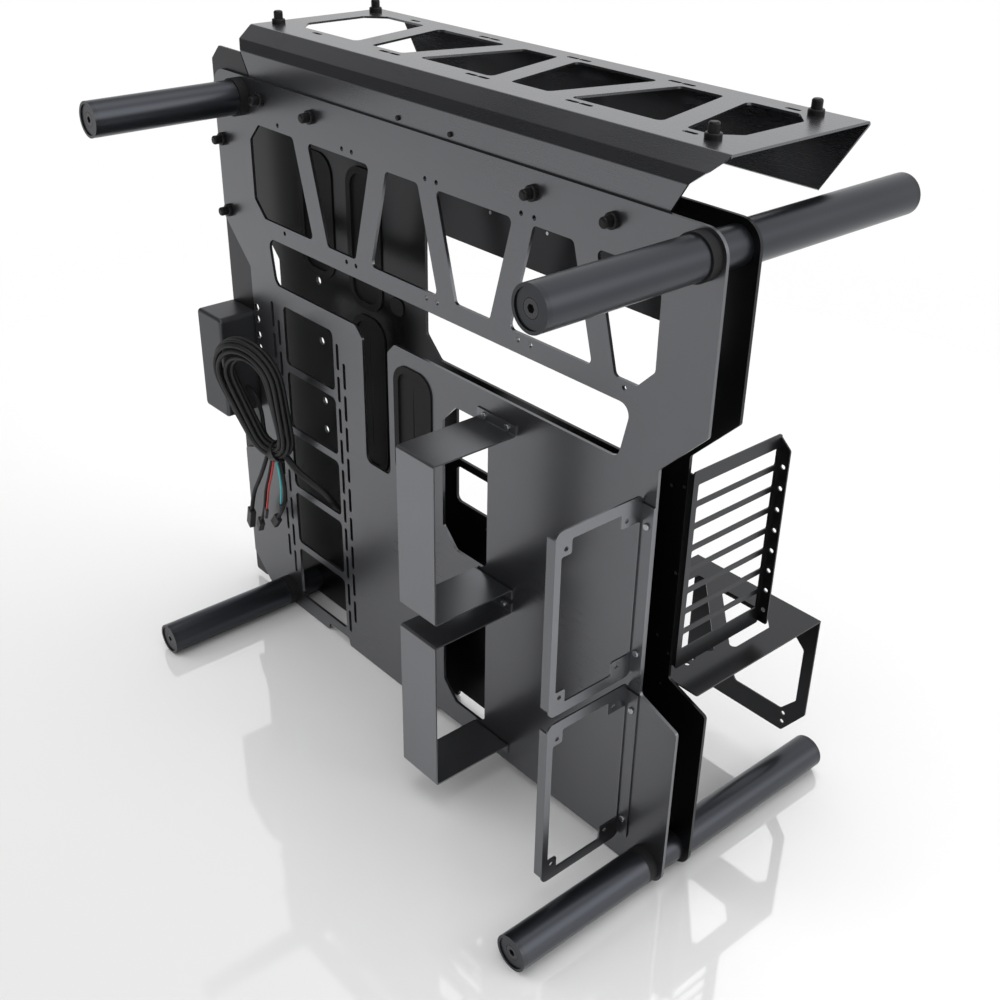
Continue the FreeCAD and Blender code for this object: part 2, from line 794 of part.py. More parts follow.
def box_screw_spots():
    """Screws from behind the side panel into the box's posts."""
    x = (BOX_LEFT + BOX_RIGHT) / 2
    return [(x, BOX_FOOT + 7), (x, BOX_TOP - 7)]


def button_spots():
    """Depth, height and radius of the two buttons on the box's outer side."""
    y = (BOX_FRONT + PLATE_T) / 2
    return {"power": (y, BOX_TOP - 28, BUTTON_R), "reset": (y, BOX_TOP - 46, RESET_R)}


def port_heights():
    """Heights of the two data ports and the two sound ports."""
    return (BOX_FOOT + 44, BOX_FOOT + 36), (BOX_FOOT + 26, BOX_FOOT + 16)


def io_box():
    """Hollow box with button and port holes on its outer side."""
    outer = rect(BOX_LEFT, BOX_RIGHT, BOX_FOOT, BOX_TOP, BOX_CORNER)
    shell = panel(outer, on_xz(BOX_FRONT), V(0, BOX_DEPTH, 0))
    rims = [edge for edge in shell.Edges if abs(edge.BoundBox.YMax - BOX_FRONT) < 0.01]
    shell = shell.makeFillet(BOX_EDGE, rims)
    wall = BOX_WALL
    inner = rect(BOX_LEFT + wall, BOX_RIGHT - wall, BOX_FOOT + wall, BOX_TOP - wall, BOX_CORNER - wall)
    shell = shell.cut(panel(inner, on_xz(BOX_FRONT + wall), V(0, BOX_DEPTH, 0)))
    posts = []
    for x, z in box_screw_spots():
        posts.append(box(x - 5, x + 5, PLATE_T - 12, PLATE_T, z - 5.5, z + 5.5))
    shell = shell.fuse(posts)
    cutters = []
    for y, z, radius in button_spots().values():
        cutters.append(rod(BOX_LEFT - 1, y, z, radius + BUTTON_FIT, wall + 1.5, V(1, 0, 0)))
    data, sound = port_heights()
    y = (BOX_FRONT + PLATE_T) / 2
    for z in data:
        cutters.append(box(BOX_LEFT - 1, BOX_LEFT + wall + 1, y - 6.8, y + 6.8, z - 2.9, z + 2.9))
    for z in sound:
        cutters.append(rod(BOX_LEFT - 1, y, z, 3.2, wall + 1.5, V(1, 0, 0)))
    for x, z in box_screw_spots():
        cutters.append(rod(x, PLATE_T + 1, z, SCREW_R + FIT, 10, V(0, -1, 0)))
    return shell.cut(cutters)


def port_block():
    """Sockets seated against the inside of the box's outer wall."""
    data, sound = port_heights()
    y = (BOX_FRONT + PLATE_T) / 2
    inside = BOX_LEFT + BOX_WALL
    block = box(inside, inside + 14, y - 9, y + 9, min(sound) - 6, max(data) + 6)
    cutters = []
    for z in data:
        cutters.append(box(inside - 1, inside + 10, y - 6.2, y + 6.2, z - 2.4, z + 2.4))
    for z in sound:
        cutters.append(rod(inside - 1, y, z, 1.8, 11, V(1, 0, 0)))
    return block.cut(cutters)


def io_board():
    """Circuit board behind the sockets, held between the box's end walls."""
    x = BOX_LEFT + BOX_WALL + 14
    y = (BOX_FRONT + PLATE_T) / 2
    return box(x, x + 1.6, y - 8, y + 8, BOX_FOOT + BOX_WALL, BOX_TOP - BOX_WALL)


def button(name):
    """Push button with an inner lip that keeps it in the box."""
    y, z, radius = button_spots()[name]
    inside = BOX_LEFT + BOX_WALL + BUTTON_FIT
    cap = rod(BOX_LEFT - BUTTON_PROUD, y, z, radius, BUTTON_PROUD + BOX_WALL + BUTTON_FIT, V(1, 0, 0))
    lip = rod(inside, y, z, radius + BUTTON_LIP, BUTTON_LIP, V(1, 0, 0))
    stem = rod(inside + BUTTON_LIP, y, z, radius * 0.5, 6.0, V(1, 0, 0))
    return cap.fuse([lip, stem]).removeSplitter()


def switch(name):
    """Switch on the board behind a button, with room for the travel."""
    y, z, radius = button_spots()[name]
    start = BOX_LEFT + BOX_WALL + BUTTON_FIT + BUTTON_LIP + 6.0 + BUTTON_TRAVEL + FIT
    return box(start, BOX_LEFT + BOX_WALL + 14, y - 4, y + 4, z - 4, z + 4)


def psu_strap(centre):
    """Folded strap around a power supply, screwed to the front plate."""
    top = centre + PSU_HALF
    low = centre - PSU_HALF
    path = [
        (0, top + BRACKET_T + STRAP_FLANGE),
        (0, top),
        (-PSU_OUT, top),
        (-PSU_OUT, low),
        (0, low),
        (0, low - BRACKET_T - STRAP_FLANGE),
    ]
    strap = panel(strip(path, BRACKET_T, 1.0), on_yz(STRAP_LEFT), V(STRAP_WIDTH, 0, 0))
    cutters = []
    for x, z in strap_screw_spots():
        cutters.append(rod(x, -BRACKET_T - 1, z, SCREW_R + FIT, BRACKET_T + 2, V(0, 1, 0)))
    return strap.cut(cutters)


def psu_frame(centre):
    """Rim around a power supply's end with a flange screwed to the front plate."""
    half = PSU_HALF + FRAME_BORDER
    out = -PSU_OUT - FRAME_OUTER
    t = BRACKET_T
    corner = FRAME_CORNER
    plate = panel(rect(out, 0, centre - half, centre + half, corner), on_yz(FRAME_X - t), V(t, 0, 0))
    middle = -PSU_CLEAR - PSU_DEPTH / 2 - PSU_SCREW_SHIFT
    hole_ys = (middle - PSU_SCREW_DEPTH / 2, middle + PSU_SCREW_DEPTH / 2)
    hole_zs = (centre - PSU_SCREW_HEIGHT / 2, centre + PSU_SCREW_HEIGHT / 2)
    y0 = out + FRAME_SIDE_RIM
    y1 = -FRAME_INNER_RIM
    z0 = centre - half + FRAME_RIM
    z1 = centre + half - FRAME_RIM
    lug_y0 = hole_ys[0] + FRAME_LUG
    lug_y1 = hole_ys[1] - FRAME_LUG
    lug_z0 = hole_zs[0] + FRAME_LUG
    lug_z1 = hole_zs[1] - FRAME_LUG
    window = [
        (lug_y0, z0),
        (lug_y1, z0),
        (lug_y1, lug_z0),
        (y1, lug_z0),
        (y1, lug_z1),
        (lug_y1, lug_z1),
        (lug_y1, z1),
        (lug_y0, z1),
        (lug_y0, lug_z1),
        (y0, lug_z1),
        (y0, lug_z0),
        (lug_y0, lug_z0),
    ]
    cutters = [panel([(u, v, 2) for u, v in window], on_yz(FRAME_X - t - 1), V(t + 2, 0, 0))]
    for y in hole_ys:
        for z in hole_zs:
            cutters.append(rod(FRAME_X - t - 1, y, z, FAN_HOLE_R, t + 2, V(1, 0, 0)))
    low = centre - half + corner
    top = centre + half - corner
    side = box(FRAME_X - FRAME_LIP, FRAME_X, out, out + t, low, top)
    flange = box(FRAME_X - t, FRAME_X + FRAME_SETBACK, -t, 0, low, top)
    frame = plate.fuse([side, flange]).removeSplitter()
    for x, z in frame_screw_spots():
        cutters.append(rod(x, -t - 1, z, SCREW_R + FIT, t + 2, V(0, 1, 0)))
    return frame.cut(cutters)


def slot_grille():
    """Plate of expansion slots behind the back plate, with a flange on it."""
    t = BRACKET_T
    near = BACK_FACE
    far = BACK_FACE + GRILLE_DEPTH
    foot = GRILLE_FOOT
    outline = [
        (near, foot, 2),
        (far, foot, 2),
        (far, GRILLE_TOP, 3),
        (near, GRILLE_TOP, 2),
    ]
    plate = panel(outline, on_yz(GRILLE_X - t), V(t, 0, 0))
    flange = box(GRILLE_X - GRILLE_FLANGE, GRILLE_X, near, near + t, foot + 2, GRILLE_TOP - 2)
    edge = GRILLE_X - t + GRILLE_LIP
    lip_outline = [
        (GRILLE_X - t, foot + 3, 0),
        (edge, foot + 3, 2),
        (edge, GRILLE_TOP - GRILLE_LIP, 3),
        (GRILLE_X, GRILLE_TOP - 3, 0),
        (GRILLE_X - t, GRILLE_TOP - 3, 0),
    ]
    lip = panel(lip_outline, on_xz(far - t), V(0, t, 0))
    plate = plate.fuse([flange, lip]).removeSplitter()
    cutters = []
    for index in range(SLOT_COUNT):
        z = GRILLE_TOP - GRILLE_RAIL - CARD_PITCH * (index + 0.37)
        half = CARD_SLOT_HEIGHT / 2
        slot = rect(near + GRILLE_MARGIN, far - t - CARD_SLOT_END, z - half, z + half, 1.5)
        cutters.append(panel(slot, on_yz(GRILLE_X - t - 1), V(t + 2, 0, 0)))
        x = (GRILLE_X + edge) / 2
        cutters.append(rod(x, far - t - 1, z - half - 1, FAN_HOLE_R, t + 2, V(0, 1, 0)))
    for x, z in grille_screw_spots():
        cutters.append(rod(x, near - 1, z, SCREW_R + FIT, t + 2, V(0, 1, 0)))
    return plate.cut(cutters)


def card_shelf():
    """Graphics card shelf with a mounting flange and a folded leg."""
    t = BRACKET_T
    near = BACK_FACE
    far = near + CARD_SHELF_DEPTH
    right = GRILLE_X + 26
    left = right - CARD_SHELF_LENGTH
    z = CARD_SHELF_Z
    border = CARD_SHELF_BORDER
    deck = panel(rect(left, right, near, far, 2), on_xy(z - t), V(0, 0, t))
    flange = box(left, NOTCH_RIGHT - 1, near, near + t, z - CARD_FLANGE - t, z)
    cut = LEG_CHAMFER
    leg_points = [
        (right - cut * 0.9, LEG_FOOT, 4),
        (right, LEG_FOOT + cut * 1.2, 4),
        (right, z, 0),
        (left, z, 0),
        (left, LEG_FOOT + cut * 1.2, 4),
        (left + cut * 0.9, LEG_FOOT, 4),
    ]
    leg = panel(leg_points, on_xz(far - t), V(0, t, 0))
    shelf = deck.fuse([flange, leg]).removeSplitter()
    inner_right = right - border
    inner_far = far - border - 4
    total = inner_right + inner_far - 70
    outer_cut = [
        (inner_right, total - inner_right, 4),
        (inner_right, inner_far - 16, 4),
        (inner_right - 16, inner_far, 4),
        (total - inner_far, inner_far, 4),
    ]
    shift = CARD_RIB * math.sqrt(2)
    low = near + border
    inner_cut = [
        (total - shift - inner_far, inner_far, 4),
        (left + border, inner_far, 4),
        (left + border, low, 4),
        (inner_right - 42, low, 4),
        (inner_right - 17, low + 25, 4),
        (inner_right - 8, total - shift - inner_right + 8, 4),
    ]
    cutters = [panel(points, on_xy(z - t - 1), V(0, 0, t + 2)) for points in (outer_cut, inner_cut)]
    for x, y in ((inner_right - 11, low + 3), (inner_right - 13, low + 13)):
        cutters.append(rod(x, y, z - t - 1, FAN_HOLE_R, t + 2, V(0, 0, 1)))
    window = [
        (left + border + 40, LEG_FOOT + border, 4),
        (inner_right - 4, LEG_FOOT + border, 4),
        (inner_right + 12, LEG_FOOT + border + 18, 4),
        (inner_right + 12, z - 39, 4),
        (inner_right - 2, z - 26, 4),
        (left + border, z - 26, 4),
        (left + border, LEG_FOOT + border + 60, 4),
    ]
    cutters.append(panel(window, on_xz(far - t - 1), V(0, t + 2, 0)))
    for drop in (10, 20):
        cutters.append(rod(inner_right, far - t - 1, LEG_FOOT + drop, FAN_HOLE_R, t + 2, V(0, 1, 0)))
    for x, screw_z in card_screw_spots():
        cutters.append(rod(x, near - 1, screw_z, SCREW_R + FIT, t + 2, V(0, 1, 0)))
    return shelf.cut(cutters)


def tube(corner, front):
    """Corner tube between its collar and its end cap."""
    x, z = CORNERS[corner]
    reach = FRONT_REACH if front else BACK_REACH
    gap = COLLAR_T if front else WASHER_T
    start = -gap if front else BACK_FACE + gap
    along = V(0, -1 if front else 1, 0)
    length = reach - gap - CAP_T
    body = rod(x, start, z, TUBE_R, length, along)
    return body.cut(rod(x, start, z, TUBE_R - TUBE_WALL, length, along))


def collar(corner, front):
    """Rubber collar between a tube and its plate."""
    x, z = CORNERS[corner]
    start = 0 if front else BACK_FACE
    along = V(0, -1 if front else 1, 0)
    thick = COLLAR_T if front else WASHER_T
    lip = COLLAR_LIP if front and corner.startswith("top") else 0
    body = rod(x, start, z, TUBE_R + lip, thick, along)
    return body.cut(rod(x, start, z, ROD_R + FIT, thick, along))


def end_cap(corner, front):
    """Stepped cap that closes a tube and seats the tie rod's head."""
    x, z = CORNERS[corner]
    face = -FRONT_REACH if front else BACK_FACE + BACK_REACH
    along = V(0, 1 if front else -1, 0)
    sign = along.y
    body = rod(x, face, z, TUBE_R, CAP_T, along)
    body = body.fuse(rod(x, face, z, TUBE_R - TUBE_WALL - FIT, CAP_T + CAP_SPIGOT, along))
    seat = CAP_STEP + ROD_HEAD_T
    body = body.cut([
        rod(x, face, z, TUBE_R - CAP_RIM, CAP_STEP, along),
        rod(x, face, z, ROD_HEAD_R + FIT, seat, along),
        rod(x, face + sign, z, ROD_R + FIT, CAP_T + CAP_SPIGOT, along),
    ])
    return body.removeSplitter()


def tie_rod(corner):
    """Threaded rod with socket heads that clamps both tubes and both plates."""
    x, z = CORNERS[corner]
    front = -FRONT_REACH + CAP_STEP
    back = BACK_FACE + BACK_REACH - CAP_STEP
    body = rod(x, front, z, ROD_R, back - front, V(0, 1, 0))
    body = body.fuse([
        rod(x, front, z, ROD_HEAD_R, ROD_HEAD_T, V(0, 1, 0)),
        rod(x, back - ROD_HEAD_T, z, ROD_HEAD_R, ROD_HEAD_T, V(0, 1, 0)),
    ])
    depth = ROD_HEAD_T * 0.7
    body = body.cut([
        hexagon(x, front - 1, z, ROD_HEAD_R * 0.5, depth + 1),
        hexagon(x, back - depth, z, ROD_HEAD_R * 0.5, depth + 1),
    ])
    return body.removeSplitter()


def spacer(corner):
    """Sleeve between the two plates at a corner."""
    x, z = CORNERS[corner]
    body = rod(x, PLATE_T, z, SPACER_R, PLATE_GAP, V(0, 1, 0))
    return body.cut(rod(x, PLATE_T, z, ROD_R + FIT, PLATE_GAP, V(0, 1, 0)))


def thumbscrew(base, along, grip):
    """Thumbscrew with a wide flange, a rounded knob and a shank of length grip."""
    flange = Part.makeCylinder(THUMB_FLANGE_R, THUMB_FLANGE_T, base, along)
    flange = flange.makeFillet(THUMB_FLANGE_T * 0.3, outer_rim(flange, base, along))
    knob_base = base + along * THUMB_FLANGE_T
    knob = Part.makeCylinder(THUMB_KNOB_R, THUMB_KNOB_T, knob_base, along)
    knob = knob.makeFillet(THUMB_KNOB_R * 0.45, outer_rim(knob, knob_base, along))
    shank = Part.makeCylinder(THUMB_R, grip + 1.0, base, along * -1.0)
    return flange.fuse([knob, shank]).removeSplitter()


def outer_rim(body, base, along):
    """Edges of a round bar's free end."""
    length = max((vertex.Point - base).dot(along) for vertex in body.Vertexes)
    return [edge for edge in body.Edges if (edge.CenterOfMass - base).dot(along) > length * 0.9]


def screw(base, along, grip, head_r=SCREW_HEAD_R):
    """Pan-head screw with a shank of length grip."""
    head = Part.makeCylinder(head_r, SCREW_HEAD_T, base, along)
    head = head.makeFillet(SCREW_HEAD_T * 0.4, outer_rim(head, base, along))
    shank = Part.makeCylinder(SCREW_R, grip, base, along * -1.0)
    return head.fuse(shank).removeSplitter()


def standoff(x, z):
    """Six-sided standoff on the back plate with a stud through it."""
    body = hexagon(x, BACK_FACE, z, STANDOFF_R, STANDOFF_T)
    body = body.cut(rod(x, BACK_FACE + 2, z, SCREW_R, STANDOFF_T, V(0, 1, 0)))
    return body.fuse(rod(x, BACK_FACE - PLATE_T, z, SCREW_R, PLATE_T + 1, V(0, 1, 0))).removeSplitter()


# Cable hank hanging in front of the plate
HANK_CENTRE = V(GRID_LEFT - 14, -38.0, BOX_FOOT + 66)
HANK_ACROSS = V(0.94, 0.27, 0.2).normalize()
HANK_UP = V(-0.16, -0.21, 0.965)
HANK_UP = (HANK_UP - HANK_ACROSS * HANK_UP.dot(HANK_ACROSS)).normalize()
HANK_OUT = HANK_ACROSS.cross(HANK_UP)


def hank_point(across, up):
    """Point on the hank's own plane."""
    return HANK_CENTRE + HANK_ACROSS * across + HANK_UP * up


def hank_wire():
    """Drop-shaped loop of two arcs and two tangent lines."""
    lean = math.asin((HANK_TOP_R - HANK_FOOT_R) / HANK_SPAN)
    right = V(math.cos(lean), -math.sin(lean), 0)
    left = V(-math.cos(lean), -math.sin(lean), 0)

    def spot(radius, way, up):
        return hank_point(radius * way.x, radius * way.y + up)

    low = -HANK_SPAN
    top_left = spot(HANK_TOP_R, left, 0)
    top_right = spot(HANK_TOP_R, right, 0)
    foot_left = spot(HANK_FOOT_R, left, low)
    foot_right = spot(HANK_FOOT_R, right, low)
    edges = [
        Part.Arc(top_left, hank_point(0, HANK_TOP_R), top_right).toShape(),
        Part.makeLine(top_right, foot_right),
        Part.Arc(foot_right, hank_point(0, low - HANK_FOOT_R), foot_left).toShape(),
        Part.makeLine(foot_left, top_left),
    ]
    return Part.Wire(edges)


def cable_hank():
    """Outer shape of the coiled cable."""
    wire = hank_wire()
    start = hank_point(0, HANK_TOP_R)
    circle = Part.Wire(Part.makeCircle(HANK_R, start, HANK_ACROSS))
    top = wire.Edges[0]
    halves = [Part.Arc(start, top.valueAt((top.FirstParameter + 3 * top.LastParameter) / 4),
                       top.valueAt(top.LastParameter)).toShape()]
    halves += wire.Edges[1:]
    halves.append(Part.Arc(top.valueAt(top.FirstParameter),
                           top.valueAt((3 * top.FirstParameter + top.LastParameter) / 4), start).toShape())
    return Part.Wire(halves).makePipeShell([circle], True, True)


def hank_tie():
    """Cable tie around the foot of the hank."""
    foot = hank_point(0, -HANK_SPAN)
    turn = math.degrees(TIE_WIDTH / HANK_FOOT_R)
    outer = Part.makeTorus(HANK_FOOT_R, HANK_R + FIT + TIE_T, V(0, 0, 0), V(0, 0, 1), -180, 180, turn)
    inner = Part.makeTorus(HANK_FOOT_R, HANK_R + FIT, V(0, 0, 0), V(0, 0, 1), -180, 180, turn)
    band = outer.cut(inner)
    band.rotate(V(0, 0, 0), V(0, 0, 1), -90 - turn / 2)
    place = FreeCAD.Matrix(
        HANK_ACROSS.x, HANK_UP.x, HANK_OUT.x, foot.x,
        HANK_ACROSS.y, HANK_UP.y, HANK_OUT.y, foot.y,
        HANK_ACROSS.z, HANK_UP.z, HANK_OUT.z, foot.z,
        0, 0, 0, 1,
    )
    band.transformShape(place)
    return band


def cord(name, points, radius):
    """Round cable along straight runs joined by tangent arcs."""
    edges = []
    start = points[0]
    bends = []
    for index in range(1, len(points) - 1):
        here = points[index]
        before = points[index - 1] - here
        after = points[index + 1] - here
        half = before.getAngle(after) / 2
        reach = 0.45 * min(before.Length, after.Length)
        way_in = V(before).normalize()
        way_out = V(after).normalize()
        first = here + way_in * reach
        last = here + way_out * reach
        depth = reach * (1 - math.sin(half)) / math.cos(half)
        middle = here + (way_in + way_out).normalize() * depth
        bends.append(reach * math.tan(half))
        edges.append(Part.makeLine(start, first))
        edges.append(Part.Arc(first, middle, last).toShape())
        start = last
    edges.append(Part.makeLine(start, points[-1]))
    wire = Part.Wire(edges)
    way = (points[1] - points[0]).normalize()
    circle = Part.Wire(Part.makeCircle(radius, points[0], way))
    solid = wire.makePipeShell([circle], True, True)
    expected = math.pi * radius * radius * wire.Length
    print("cord", name, "length", round(wire.Length, 1), "radii", [round(bend, 1) for bend in bends],
          "volume ratio", round(solid.Volume / expected, 4))
    return solid


def plug(end, way, wide, long):
    """Rectangular connector whose back face takes the end of a cable."""
    body = Part.makeBox(wide, wide * 0.55, long, V(-wide / 2, -wide * 0.275, 0))
    body = body.makeChamfer(0.4, body.Edges)
    body.Placement = FreeCAD.Placement(end, FreeCAD.Rotation(V(0, 0, 1), way))
    return body


FOOT = hank_point(0, -HANK_SPAN - HANK_FOOT_R)
LEADS = {
    "box_lead": (LEAD_R, [
        V(BOX_RIGHT, -14, BOX_FOOT + 30),
        V(BOX_RIGHT + 14, -14, BOX_FOOT + 30),
        V(BOX_RIGHT + 30, -16.5, BOX_FOOT + 14),
        FOOT + V(-21, -2, 23),
        FOOT + V(-8, 0, 14),
    ]),
    "header_lead": (LEAD_R, [
        FOOT + V(-9, 0, -4),
        FOOT + V(-22, -2, -20),
        FOOT + V(-34, -4, -46),
        FOOT + V(-52, -4, -72),
        FOOT + V(-60, -3, -98),
    ]),
    "long_lead": (THICK_R, [
        FOOT + V(10, 3, -1),
        FOOT + V(24, 6, -14),
        FOOT + V(42, 11, -22),
        FOOT + V(60, 22, -36),
        FOOT + V(63, 34, -58),
    ]),
    "sound_lead": (SOUND_R, [
        FOOT + V(-6, -3, -8),
        FOOT + V(-8, -7, -30),
        FOOT + V(-16, -9, -52),
        FOOT + V(-22, -8, -78),
        FOOT + V(-35, -6, -100),
    ]),
    "data_lead": (LEAD_R, [
        FOOT + V(3, 1, -12.6),
        FOOT + V(9, 0, -31),
        FOOT + V(9, 1, -51),
        FOOT + V(2, 1, -71),
        FOOT + V(-10, 1, -87),
    ]),
    "switch_lead": (THIN_R, [
        FOOT + V(-1, -5, -11.6),
        FOOT + V(2, -10, -25),
        FOOT + V(-2, -13, -41),
        FOOT + V(-5, -13, -57),
        FOOT + V(-11, -12, -72),
    ]),
    "lamp_lead": (THIN_R, [
        FOOT + V(3, -3, -12),
        FOOT + V(11, -6, -20),
        FOOT + V(16, -8, -32),
        FOOT + V(15, -8, -46),
        FOOT + V(11, -7, -58),
    ]),
}
PLUGS = {
    "header_plug": ("header_lead", 12.0, 24.0),
    "long_plug": ("long_lead", 14.0, 16.0),
    "sound_plug": ("sound_lead", 11.0, 14.0),
    "data_plug": ("data_lead", 10.0, 16.0),
    "switch_plug": ("switch_lead", 6.0, 14.0),
    "lamp_plug": ("lamp_lead", 6.0, 14.0),
}


def all_nodes():
    """Every piece by node name."""
    nodes = {
        "front_plate": front_plate(),
        "back_plate": back_plate(),
        "radiator_shelf": radiator_shelf(),
        "side_panel": side_panel(),
        "io_box": io_box(),
        "port_block": port_block(),
        "io_board": io_board(),
        "slot_grille": slot_grille(),
        "card_shelf": card_shelf(),
        "front_grommet": grommet(front_grommet_slot(), 0, 4),
    }
    for name in button_spots():
        nodes[name + "_button"] = button(name)
    grommets = {name: grommet(points, BACK_FRONT, 4) for name, points in back_grommet_slots().items()}
    nodes["back_grommet_upper"] = Part.makeCompound([grommets["upper"], grommets["left"], cable_clip()])
    nodes["back_grommet_lower"] = grommets["lower"]
    for name, centre in PSU_CENTRES.items():
        nodes["psu_strap_" + name] = psu_strap(centre)
        nodes["psu_frame_" + name] = psu_frame(centre)
    for corner in CORNERS:
        for front, side in ((True, "front"), (False, "back")):
            nodes[side + "_tube_" + corner] = tube(corner, front)
            nodes[side + "_cap_" + corner] = end_cap(corner, front)
    nodes["corner_spacers"] = Part.makeCompound([spacer(corner) for corner in CORNERS])
    collars = [collar(corner, front) for corner in CORNERS for front in (True, False)]
    nodes["tube_collars"] = Part.makeCompound(collars)
    nodes["button_switches"] = Part.makeCompound([switch(name) for name in button_spots()])
    nodes["tie_rods"] = Part.makeCompound([tie_rod(corner) for corner in CORNERS])
    out = V(0, -1, 0)
    back = V(0, 1, 0)
    grip = PLATE_T + SHEET_T
    spots = shelf_screw_spots() + side_screw_spots()
    nodes["plate_thumbscrews"] = Part.makeCompound([thumbscrew(V(x, 0, z), out, grip) for x, z in spots])
    tops = [V(x, y, SHELF_TOP) for x, y in shelf_thumb_spots()]
    nodes["shelf_thumbscrews"] = Part.makeCompound([thumbscrew(top, V(0, 0, 1), SHEET_T) for top in tops])
    rivets = [screw(V(x, PLATE_T, z), out, SHEET_T, RIVET_HEAD_R) for x, z in rivet_spots()]
    nodes["shelf_rivets"] = Part.makeCompound(rivets)
    spots = frame_screw_spots() + strap_screw_spots()
    psu_screws = [screw(V(x, -BRACKET_T, z), out, BRACKET_T + PLATE_T) for x, z in spots]
    nodes["psu_screws"] = Part.makeCompound(psu_screws)
    spots = grille_screw_spots() + card_screw_spots()
    rear = BACK_FACE + BRACKET_T
    rear_screws = [screw(V(x, rear, z), back, BRACKET_T + PLATE_T) for x, z in spots]
    nodes["rear_screws"] = Part.makeCompound(rear_screws)
    box_screws = [screw(V(x, PLATE_T + SHEET_T, z), back, SHEET_T + 6) for x, z in box_screw_spots()]
    nodes["box_screws"] = Part.makeCompound(box_screws)
    nodes["board_standoffs"] = Part.makeCompound([standoff(x, z) for x, z in standoff_spots()])
    return nodes


def cable_nodes():
    """The hank, its tie, the leads and their plugs."""
    hank = cable_hank()
    tie = hank_tie()
    nodes = {"cable_hank": hank, "hank_tie": tie}
    for name, (radius, points) in LEADS.items():
        nodes[name] = cord(name, points, radius).cut([hank, tie])
    for name, (lead, wide, long) in PLUGS.items():
        points = LEADS[lead][1]
        nodes[name] = plug(points[-1], (points[-1] - points[-2]).normalize(), wide, long)
    return nodes


os.makedirs("parts", exist_ok=True)
rigid = all_nodes()
extent = FreeCAD.BoundBox()
for shape in rigid.values():
    extent.add(shape.BoundBox)
shift = V(-(extent.XMin + extent.XMax) / 2, -(extent.YMin + extent.YMax) / 2, -extent.ZMin)
print("shift", shift, "size", extent.XLength, extent.YLength, extent.ZLength)
for name, shape in {**rigid, **cable_nodes()}.items():
    moved = shape.translated(shift)
    print(name, len(moved.Solids), moved.isValid(), round(moved.Volume, 1))
    moved.exportStep("parts/" + name + ".step")
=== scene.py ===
import math

import bmesh
import bpy
from bpy.props import FloatProperty, FloatVectorProperty, IntProperty, PointerProperty
from mathutils import Matrix, Vector


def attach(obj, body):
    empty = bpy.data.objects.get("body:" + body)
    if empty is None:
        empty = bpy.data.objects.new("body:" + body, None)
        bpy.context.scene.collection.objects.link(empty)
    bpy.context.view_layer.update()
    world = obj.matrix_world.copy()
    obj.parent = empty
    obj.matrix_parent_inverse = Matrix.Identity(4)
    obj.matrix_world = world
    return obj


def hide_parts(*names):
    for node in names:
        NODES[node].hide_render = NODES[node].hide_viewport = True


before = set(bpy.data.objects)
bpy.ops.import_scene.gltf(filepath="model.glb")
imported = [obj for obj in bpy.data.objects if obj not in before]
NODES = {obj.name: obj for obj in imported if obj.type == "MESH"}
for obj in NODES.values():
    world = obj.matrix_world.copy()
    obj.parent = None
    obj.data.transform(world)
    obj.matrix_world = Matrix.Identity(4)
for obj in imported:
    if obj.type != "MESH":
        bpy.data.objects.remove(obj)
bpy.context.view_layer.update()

bl_info = {
    "name": "Open Frame Case Finish",
    "version": (1, 0, 0),
    "blender": (4, 5, 0),
    "location": "View3D > Sidebar > Case",
    "description": "Dresses an open-frame computer case and sets the studio around it",
    "category": "Object",
}

CASE = "case"
MILLIMETRE = 0.001

# The hank of cable is a drop-shaped ring, sizes in metres. Its foot turns wider than the solid's.
HANK_CENTRE = Vector((-0.23925, -0.075, 0.302))
HANK_ACROSS = Vector((0.94, 0.27, 0.2)).normalized()
HANK_LEAN = Vector((-0.16, -0.21, 0.965))
HANK_UP = (HANK_LEAN - HANK_ACROSS * HANK_LEAN.dot(HANK_ACROSS)).normalized()
HANK_OUT = HANK_ACROSS.cross(HANK_UP)
HANK_TOP_R = 0.036
HANK_FOOT_R = 0.022
HANK_SPAN = 0.069
HANK_R = 0.010
FOOT = HANK_CENTRE - HANK_UP * (HANK_SPAN + HANK_FOOT_R)

# Its turns take places round the bundle, and the free places let the ends in and out
TURN_STEPS = 24
FREE_PLACES = 2
FIRST_PLACE = math.radians(240)
STEPS_IN, STEPS_OUT = 2, 1
PLACE_WIDTH = 1.08
INNER_FAN = 0.9

BOX_SIDE = Vector((-0.28695, -0.051, 0.266))


def near_foot(*offsets):
    """Points given in millimetres from the foot of the hank."""
    return [FOOT + Vector(offset) * MILLIMETRE for offset in offsets]


# Cable routes along the solids. The hank's turns join the first two into one cable.
BOX_LEAD = [
    BOX_SIDE,
    BOX_SIDE + Vector((0.014, 0.0, 0.0)),
    BOX_SIDE + Vector((0.030, -0.0025, -0.016)),
    *near_foot((-21, -2, 23)),
]
HEADER_LEAD = near_foot(
    (-22, -2, -20), (-34, -4, -46), (-52, -4, -72), (-60, -3, -98))
LONG_LEAD = near_foot(
    (10, 3, -1), (24, 6, -14), (42, 11, -22), (60, 22, -36), (63, 34, -58))
SOUND_LEAD = near_foot(
    (-6, -3, -8), (-8, -7, -30), (-16, -9, -52), (-22, -8, -78), (-35, -6, -100))
DATA_LEAD = near_foot(
    (3, 1, -12.6), (9, 0, -31), (9, 1, -51), (2, 1, -71), (-10, 1, -87))
SWITCH_LEAD = near_foot(
    (-1, -5, -11.6), (2, -10, -25), (-2, -13, -41), (-5, -13, -57), (-11, -12, -72))
LAMP_LEAD = near_foot(
    (3, -3, -12), (11, -6, -20), (16, -8, -32), (15, -8, -46), (11, -7, -58))

# Make of a cable's curve
CORD_ORDER = 3
CORD_STEPS = 8
CORD_ROUNDNESS = 4

